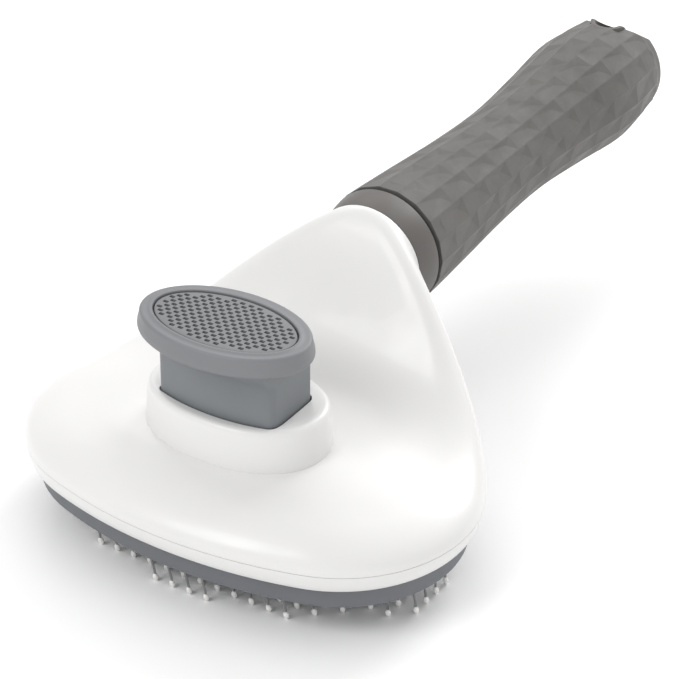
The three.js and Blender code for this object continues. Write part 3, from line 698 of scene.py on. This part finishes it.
# ---- plate and pins ----
def make_plate(roots):
    rings = []
    for k in range(6):
        angle = k / 5 * math.pi / 2
        inset = PLATE_INSET + 1.1 * (1 - math.sin(angle))
        rings.append(lift(plate_outline(inset), -PLATE_DEPTH + 1.1 * (1 - math.cos(angle))))
    rings += [lift(plate_outline(PLATE_INSET), 0), lift(plate_outline(PLATE_INSET + 0.15), PLATE_TOP)]
    plate = loft("ejector_dish", rings)
    inner = plate_outline(PLATE_INSET + PLATE_WALL)
    boolean(plate, prism("hollow", inner, -PLATE_DEPTH + PLATE_FLOOR, 10))
    slots = [(x, y + SLOT_AHEAD) for x, y in roots]
    boolean(plate, boxes("slots", slots, SLOT_SIZE, -20, 0, 0.6))
    for x in (-LEG_X, LEG_X):
        boolean(plate, post("leg", x, BUTTON_Y, LEG_RADIUS, -9.5, 2), "UNION")
        boolean(plate, post("bore", x, BUTTON_Y, 2.65, -20, -8))
    finish_piece(plate, "button", PLATE_GREY, ["ejector_plate"])


def tube(path, radii, sides, verts, faces):
    start = len(verts)
    for (x, y, z), radius in zip(path, radii):
        for i in range(sides):
            angle = 2 * math.pi * i / sides
            verts.append((x + radius * math.cos(angle), y + radius * math.sin(angle), z))
    for r in range(len(path) - 1):
        for i in range(sides):
            j = (i + 1) % sides
            a, b = start + r * sides, start + (r + 1) * sides
            faces.append((a + i, a + j, b + j, b + i))
    faces.append(tuple(reversed(range(start, start + sides))))
    end = start + (len(path) - 1) * sides
    faces.append(tuple(range(end, end + sides)))


def make_pins(roots):
    wires, balls = ([], []), ([], [])
    for x, y in roots:
        knee = -PLATE_DEPTH + 0.3
        path = [(x, y, -3.6), (x, y, -6), (x, y, knee + 0.6), (x, y + 0.05, knee)]
        path += [(x, y + 0.35, knee - 0.9), (x, y + 0.96, knee - 3.4), (x, y + 1.57, knee - 5.7)]
        path += [(x, y + 1.8, PIN_TIP + 1.4)]
        tube(path, [PIN_WIRE] * len(path), 8, *wires)
        centre = (x, y + PIN_LEAN - 0.1, PIN_TIP + 1.05)
        ball_path, ball_radii = [], []
        for k in range(9):
            angle = math.pi * (0.04 + 0.92 * k / 8)
            offset = PIN_BALL_HALF_HEIGHT * math.cos(angle)
            ball_path.append((centre[0], centre[1] - 0.24 * offset, centre[2] + offset))
            ball_radii.append(PIN_BALL_RADIUS * math.sin(angle))
        tube(ball_path, ball_radii, 12, *balls)
    wire_piece = mesh_piece("pin_wires", *wires)
    ball_piece = mesh_piece("pin_balls", *balls)
    finish_piece(wire_piece, "brush", WIRE, ["pin_carrier"])
    finish_piece(ball_piece, "brush", PIN_BALL)
    base = prism("pin_base", plate_outline(CARRIER_INSET), -4.6, -2.2)
    for x in (-LEG_X, LEG_X):
        boolean(base, post("clearance", x, BUTTON_Y, 3.8, -10, 10))
    finish_piece(base, "brush", DARK)


# ---- button ----
def make_stem():
    def ring(grow, z):
        lean = STEM_LEAN * smooth((z - STEM_BEND) / (STEM_TOP - STEM_BEND))
        return lift(stem_outline(grow, BUTTON_Y - lean), z)

    heights = [14.4, 17, 20, 24, STEM_BEND] + [mix(STEM_BEND, STEM_TOP, k / 8) for k in range(1, 9)]
    stem = loft("button_post", [ring(0, z) for z in heights])
    boolean(stem, loft("hollow", [ring(-STEM_WALL, z) for z in heights[1:] + [STEM_TOP + 1]]))
    boolean(stem, prism("flange", oval(18.5, 11.5, COLLAR_Y, 96, 0.86), 14.4, 16.7), "UNION")
    for x in (-LEG_X, LEG_X):
        boolean(stem, post("leg", x, BUTTON_Y, LEG_RADIUS, 2.3, 16), "UNION")
    finish_piece(stem, "button", STEM_GREY, ["button_stem"])


def make_cap():
    def ring(share, z, grow=0.0):
        half_width = mix(CAP_HALF_WIDTH, PAD_HALF_WIDTH + 0.35, share) + grow
        half_depth = mix(CAP_HALF_DEPTH, PAD_HALF_DEPTH + 0.35, share) + grow
        return lift(oval(half_width, half_depth, CAP_Y, 128), z)

    rings = [ring(0, CAP_LOW + 0.05, -2.4), ring(0, CAP_LOW, -1.5)]
    for k in range(7):
        angle = k / 6 * math.pi / 2
        rings.append(ring(0, CAP_LOW + 1.0 - 1.0 * math.cos(angle), -1.0 + 1.0 * math.sin(angle)))
    rings += [ring(0, CAP_LOW + 2.0, -0.12), ring(0, CAP_TOP - 1.6, -0.42), ring(0, CAP_TOP - 0.95, -0.5)]
    for k in range(1, 6):
        angle = k / 5 * math.pi / 2
        rings.append(ring(0, CAP_TOP - 0.95 + 0.75 * math.sin(angle), -0.5 - 0.75 * (1 - math.cos(angle))))
    rings += [ring(0.5, CAP_TOP - 0.28), ring(0.72, CAP_TOP - 0.2), ring(0.8, CAP_TOP - 0.04)]
    rings += [ring(0.88, CAP_TOP), ring(0.96, CAP_TOP - 0.04)]
    rings += [ring(1.0, CAP_TOP - 0.2), ring(1.0, CAP_TOP - 1.4)]
    cap = loft("button_top", rings)
    finish_piece(cap, "button", CAP_GREY, ["button_cap"])


def make_pad():
    rings = [(0, 1.0), (0, 0.25), (0.1, 0.08), (0.3, 0)]
    ovals = [oval(PAD_HALF_WIDTH - shrink, PAD_HALF_DEPTH - shrink, CAP_Y, 112) for shrink, _ in rings]
    pad = loft("grip_pad", [lift(o, PAD_TOP - drop) for o, (_, drop) in zip(ovals, rings)])
    places = []
    for row in range(-8, 9):
        for column in range(-9, 10):
            x = column * DIMPLE_COLUMN_PITCH + (DIMPLE_COLUMN_PITCH / 2 if row % 2 else 0)
            y = row * DIMPLE_ROW_PITCH
            if (x / 15.4) ** 2 + (y / 8.25) ** 2 < 1:
                places.append((x, CAP_Y + y))
    boolean(pad, boxes("dimples", places, DIMPLE_SIZE, PAD_TOP - DIMPLE_DEPTH, PAD_TOP + 1, 0.14))
    finish_piece(pad, "button", PAD_GREY, ["thumb_pad"])


def make_spring():
    """The return spring, coiled at one length from its foot to its head; the real one shortens towards its foot
    as the button goes down.
    """
    foot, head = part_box("return_spring")
    low = foot.z / MM - PARTING_Z + SPRING_WIRE
    high = head.z / MM - PARTING_Z - SPRING_WIRE
    steps, sides = 198, 10
    verts, faces = [], []
    for k in range(steps + 1):
        angle = 2 * math.pi * SPRING_TURNS * k / steps
        z = mix(low, high, k / steps)
        for i in range(sides):
            turn = 2 * math.pi * i / sides
            radius = SPRING_RADIUS + SPRING_WIRE * (math.cos(turn) - 1)
            x, y = radius * math.cos(angle), BUTTON_Y + radius * math.sin(angle)
            verts.append((x, y, z + SPRING_WIRE * math.sin(turn)))
    for k in range(steps):
        for i in range(sides):
            j = (i + 1) % sides
            a, b = k * sides, (k + 1) * sides
            faces.append((a + i, a + j, b + j, b + i))
    faces.append(tuple(range(sides)))
    faces.append(tuple(range(steps * sides, (steps + 1) * sides)))
    spring = mesh_piece("return_coil", verts, faces)
    finish_piece(spring, "brush", SPRING, ["return_spring"])
    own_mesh(spring)


# ---- screws ----
def make_screw(name, node, x, y, seat, body):
    """A domed pan head with a cross recess, facing down, and its shank."""
    rings = [(0.4, seat - 1.62), (1.2, seat - 1.56), (1.9, seat - 1.36), (2.35, seat - 1.0), (2.5, seat - 0.55)]
    rings += [(2.5, seat - 0.08), (2.42, seat), (1.3, seat), (1.3, seat + 9), (0.9, seat + 10)]
    sides = 48
    circles = []
    for radius, z in rings:
        angles = [2 * math.pi * i / sides for i in range(sides)]
        circles.append([(x + radius * math.cos(a), y + radius * math.sin(a), z) for a in angles])
    screw = loft(name, circles)
    boolean(screw, boxes("slot", [(x, y)], (3, 0.7), seat - 3, seat - 0.8, 0.1))
    boolean(screw, boxes("slot", [(x, y)], (0.7, 3), seat - 3, seat - 0.8, 0.1))
    finish_piece(screw, body, SCREW, [node])


# ---- handle ----
def grip_radius(y):
    """Catmull-Rom through the driving radii, as in the CAD."""
    share = min(max((y - RING_LENGTH) / (HANDLE_LENGTH - RING_LENGTH), 0), 1) * (len(GRIP_RADII) - 1)
    i = min(int(share), len(GRIP_RADII) - 2)
    t = share - i
    r = GRIP_RADII
    p = [r[max(i - 1, 0)], r[i], r[i + 1], r[min(i + 2, len(r) - 1)]]
    v0, v1 = (p[2] - p[0]) / 2, (p[3] - p[1]) / 2
    a = (2 * p[1] - 2 * p[2] + v0 + v1) * t**3
    b = (-3 * p[1] + 3 * p[2] - 2 * v0 - v1) * t * t
    return a + b + v0 * t + p[1]


def handle_place(piece):
    piece.data.transform(Matrix.Translation((0, NECK_Y, NECK_Z)))
    return piece


def make_ring():
    profile = [(BORE_RADIUS, 0.2), (NECK_RADIUS - 0.35, 0.2), (NECK_RADIUS - 0.1, 0.28), (NECK_RADIUS, 0.55)]
    profile += [(NECK_RADIUS + 0.42, 3.6), (14.15, 6.5), (14.08, 6.85)]
    profile += [(13.85, RING_LENGTH), (BORE_RADIUS, RING_LENGTH)]
    ring = handle_place(turned("neck_ring", profile, 128))
    finish_piece(ring, "brush", TAUPE, ["handle_ring"], sharp=40)


def grip_point(ridge, y, depth=0.0):
    angle = math.pi - ridge / GRIP_RIDGES * 2 * math.pi
    radius = grip_radius(y) - depth
    return radius * math.cos(angle), y, radius * math.sin(angle)


def grip_strip(k, ys):
    """Faces between two neighbouring ridges, with a slanted pit every few rows."""
    faces = []
    phase = k % ROWS_PER_PIT
    edges = sorted({0, GRIP_ROWS} | set(range(phase, GRIP_ROWS, ROWS_PER_PIT)))
    for low, high in zip(edges, edges[1:]):
        share = (high - low) / ROWS_PER_PIT
        pit = grip_point(k + 0.36, mix(ys[low], ys[high], 0.76), mix(0.18, PIT_DEPTH, share))
        near = [grip_point(k, ys[r]) for r in range(low, high + 1)]
        far = [grip_point(k + 1, ys[r]) for r in range(low, high + 1)]
        border = near + far[::-1]
        faces += [(border[i], border[(i + 1) % len(border)], pit) for i in range(len(border))]
    return faces


def make_grip():
    last = HANDLE_LENGTH - 3.2
    ys = [mix(GRIP_START, last, r / GRIP_ROWS) for r in range(GRIP_ROWS + 1)]
    triangles = [face for k in range(GRIP_RIDGES) for face in grip_strip(k, ys)]
    verts = [p for triangle in triangles for p in triangle]
    faces = [(3 * i, 3 * i + 1, 3 * i + 2) for i in range(len(triangles))]
    ends = [[grip_point(k, y) for k in range(GRIP_RIDGES)] for y in (ys[0], ys[-1])]
    ends.append([(x, HANDLE_LENGTH + 2, z) for x, y, z in ends[-1]])
    base = len(verts)
    n = GRIP_RIDGES
    verts += [p for ring in ends for p in ring]
    faces.append(tuple(range(base, base + n)))
    faces.append(tuple(range(base + 2 * n, base + 3 * n)))
    for i in range(n):
        j = (i + 1) % n
        faces.append((base + n + i, base + n + j, base + 2 * n + j, base + 2 * n + i))
    grip = mesh_piece("grip_sleeve", verts, faces)
    bevel(grip, 0.16, 2, 5)
    boolean(grip, turned_plug("envelope", grip_envelope()), "INTERSECT")
    boolean(grip, turned_plug("bore", [(BORE_RADIUS, -5), (BORE_RADIUS, BORE_END)]))
    outer = EYELET_RADIUS + EYELET_WALL
    boolean(grip, post("hang_hole", 0, EYELET_Y, outer + 0.15, -30, 30, 64))
    boolean(grip, scoop_block(0))
    handle_place(grip)
    finish_piece(grip, "brush", RUBBER, ["rubber_grip"], sharp=5)


def grip_envelope():
    """A smooth rounded end in which the facets run out."""
    points = [(20, -5), (20, HANDLE_LENGTH - 9), (13.6, HANDLE_LENGTH - 5), (13.2, HANDLE_LENGTH - 3.4)]
    for k in range(9):
        angle = k / 8 * math.pi / 2
        points.append((10.9 + 2.1 * math.cos(angle), HANDLE_LENGTH - 2.1 + 2.1 * math.sin(angle)))
    return points


def scoop_block(raised):
    """Everything above the slanted scoop in which the hang hole opens."""
    block = boxes("scoop", [(0, 0)], (90, 90), 0, 60)
    turn = Matrix.Rotation(-SCOOP_ANGLE, 4, "X")
    block.data.transform(Matrix.Translation((0, SCOOP_Y, SCOOP_Z + raised)) @ turn)
    return block


def turned_plug(name, profile, sides=96):
    """A solid about the Y axis through (radius, y) points."""
    rings = []
    for radius, y in profile:
        angles = [2 * math.pi * i / sides for i in range(sides)]
        rings.append([(radius * math.cos(a), y, radius * math.sin(a)) for a in angles])
    return loft(name, rings)


def make_eyelet():
    """The tube through the butt: level with the round below, a slanted lip in the scoop above."""
    outer = EYELET_RADIUS + EYELET_WALL
    low = 0.35 - grip_radius(EYELET_Y)
    tube_piece = post("hang_ring", 0, EYELET_Y, outer, low, 0.3 - low, 72)
    boolean(tube_piece, post("bore", 0, EYELET_Y, EYELET_RADIUS, -30, 30, 72))
    boolean(tube_piece, scoop_block(EYELET_PROUD))
    bevel(tube_piece, 0.25, 3, 28)
    handle_place(tube_piece)
    finish_piece(tube_piece, "brush", TAUPE, ["hang_eyelet"], sharp=50)


def dress_frame():
    """Procedural materials on the CAD nodes that stay."""
    carried = {"handle_core": DARK, "tang_screw": SCREW}
    for i in range(1, 5):
        carried[f"carrier_screw_{i}"] = SCREW
    for node, material in carried.items():
        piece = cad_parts[node]
        piece.data.materials.clear()
        piece.data.materials.append(material)


# ---- stage ----
def make_floor():
    n = Nodes("floor_paper", (0.96, 0.96, 0.96), 0.9, Specular_IOR_Level=0.1)
    n.tint(n.noise(3, 2), (0.955, 0.955, 0.955), (0.965, 0.965, 0.965))
    n.bumps(n.noise(400, 2), 0.00002)
    size = 3.0
    mesh = bpy.data.meshes.new("floor")
    corners = [(-size, -size, 0), (size, -size, 0), (size, size, 0), (-size, size, 0)]
    mesh.from_pydata(corners, [], [(0, 1, 2, 3)])
    mesh.materials.append(n.material)
    floor = bpy.data.objects.new("floor", mesh)
    bpy.context.scene.collection.objects.link(floor)


def area_light(name, place, target, size, power):
    light = bpy.data.lights.new(name, "AREA")
    light.shape = "DISK"
    light.size = size
    light.energy = power
    obj = bpy.data.objects.new(name, light)
    obj.location = place
    obj.rotation_euler = (Vector(target) - Vector(place)).to_track_quat("-Z", "Y").to_euler()
    bpy.context.scene.collection.objects.link(obj)


def make_lights():
    world = bpy.data.worlds.new("studio")
    world.use_nodes = True
    world.node_tree.nodes["Background"].inputs["Color"].default_value = (1, 1, 1, 1)
    world.node_tree.nodes["Background"].inputs["Strength"].default_value = 0.86
    bpy.context.scene.world = world
    area_light("back", (0.1, 1.1, 0.8), (0, -0.02, 0.03), 0.8, 9.1)
    area_light("back_left", (-0.7, 0.7, 1.0), (0, -0.02, 0.03), 0.7, 2.2)
    area_light("front_left", (-0.35, -0.9, 1.0), (0, -0.02, 0.03), 0.6, 4.8)
    bpy.context.scene.view_settings.view_transform = "Standard"


def make_camera():
    right = Vector((0.8437, 0.5367, 0.0065))
    down = Vector((0.2874, -0.4414, -0.8501))
    forward = Vector((-0.4534, 0.7191, -0.5267))
    camera = bpy.data.cameras.new("camera")
    camera.sensor_width = 36
    camera.lens = 137.15
    obj = bpy.data.objects.new("camera", camera)
    rotation = Matrix((right, -down, -forward)).transposed().to_4x4()
    obj.matrix_world = Matrix.Translation((0.25720, -0.43900, 0.32855)) @ rotation
    bpy.context.scene.collection.objects.link(obj)
    bpy.context.scene.camera = obj


ROOTS = pin_roots()
make_upper_shell()
make_lower_shell()
make_plate(ROOTS)
make_pins(ROOTS)
make_stem()
make_cap()
make_pad()
make_spring()
for side, x in (("left", -1), ("right", 1)):
    make_screw(f"plate_bolt_{side}", f"plate_screw_{side}", x * LEG_X, BUTTON_Y, -8.03, "button")
    make_screw(f"shell_bolt_{side}", f"shell_screw_{side}", x * SHELL_SCREW_X, SHELL_SCREW_Y, 9.47, "brush")
make_ring()
make_grip()
make_eyelet()
dress_frame()
make_floor()
make_lights()
make_camera()
